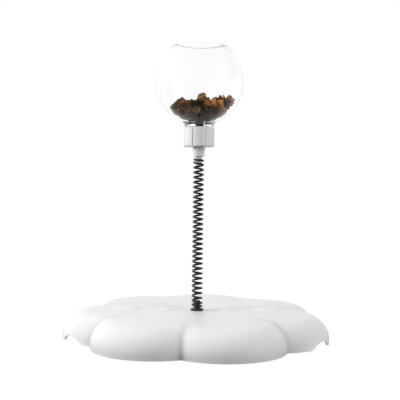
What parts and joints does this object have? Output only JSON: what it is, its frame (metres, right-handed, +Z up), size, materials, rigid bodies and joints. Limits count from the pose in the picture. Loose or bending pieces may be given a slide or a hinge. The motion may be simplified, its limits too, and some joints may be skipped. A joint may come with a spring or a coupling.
{
  "type": "wobbling treat dispenser toy",
  "caption": "Clear open globe of dry treats screwed into a hand nut on a tall coil spring, swaying over a wide hollow base with round lobes, so that a pet knocks treats out.",
  "frame": {"origin": "on the spring's axis, at the floor under the feet", "axes": "+Z up along the spring, -Y towards the front seam between two lobes, +X to the right"},
  "size_m": [0.2602, 0.2603, 0.2913],
  "materials": {
    "base_plastic": "satin",
    "white_plastic": "satin",
    "black_plastic": "satin",
    "foot_rubber": "matte",
    "gasket_rubber": "matte",
    "plated_steel": "satin",
    "black_spring_steel": "satin",
    "clear_plastic": "polished",
    "dark_treat": "matte",
    "red_brown_treat": "matte",
    "tan_treat": "matte"
  },
  "bodies": {
    "base": {"base_shell": "base_plastic", "anti_slip_foot_1": "foot_rubber", "anti_slip_foot_2": "foot_rubber", "anti_slip_foot_3": "foot_rubber", "anti_slip_foot_4": "foot_rubber", "anti_slip_foot_5": "foot_rubber", "anti_slip_foot_6": "foot_rubber", "anti_slip_foot_7": "foot_rubber", "anchor_plug": "black_plastic", "anchor_screw": "plated_steel", "anchor_washer": "plated_steel"},
    "coil": {"spring": "black_spring_steel"},
    "head": {"ferrule": "white_plastic", "head_screw": "plated_steel", "head_washer": "plated_steel", "hand_nut": "white_plastic"},
    "seal": {"neck_gasket": "gasket_rubber"},
    "globe": {"globe": "clear_plastic", "treat_stars": "dark_treat", "treat_triangles": "red_brown_treat", "treat_rounds": "tan_treat"}
  },
  "joints": [
    {"name": "sway_fore_aft", "type": "hinge", "parent": "base", "child": "coil", "pos_m": [0, 0, 0.066], "axis": [1, 0, 0], "range_deg": [-40, 40], "stiffness_Nm_per_rad": 0.4, "deforming": ["spring"]},
    {"name": "sway_side", "type": "hinge", "parent": "coil", "child": "head", "pos_m": [0, 0, 0.142], "axis": [0, 1, 0], "range_deg": [-40, 40], "stiffness_Nm_per_rad": 0.4, "deforming": ["spring"]},
    {"name": "globe_lift", "type": "slide", "parent": "head", "child": "seal", "axis": [0, 0, 1], "range_m": [0, 0.005]},
    {"name": "globe_twist", "type": "hinge", "parent": "seal", "child": "globe", "pos_m": [0, 0, 0.2097], "axis": [0, 0, 1], "range_deg": [0, 450]}
  ],
  "couplings": [
    {"joint": "globe_lift", "follows": "globe_twist", "m_per_rad": 0.0006366}
  ]
}
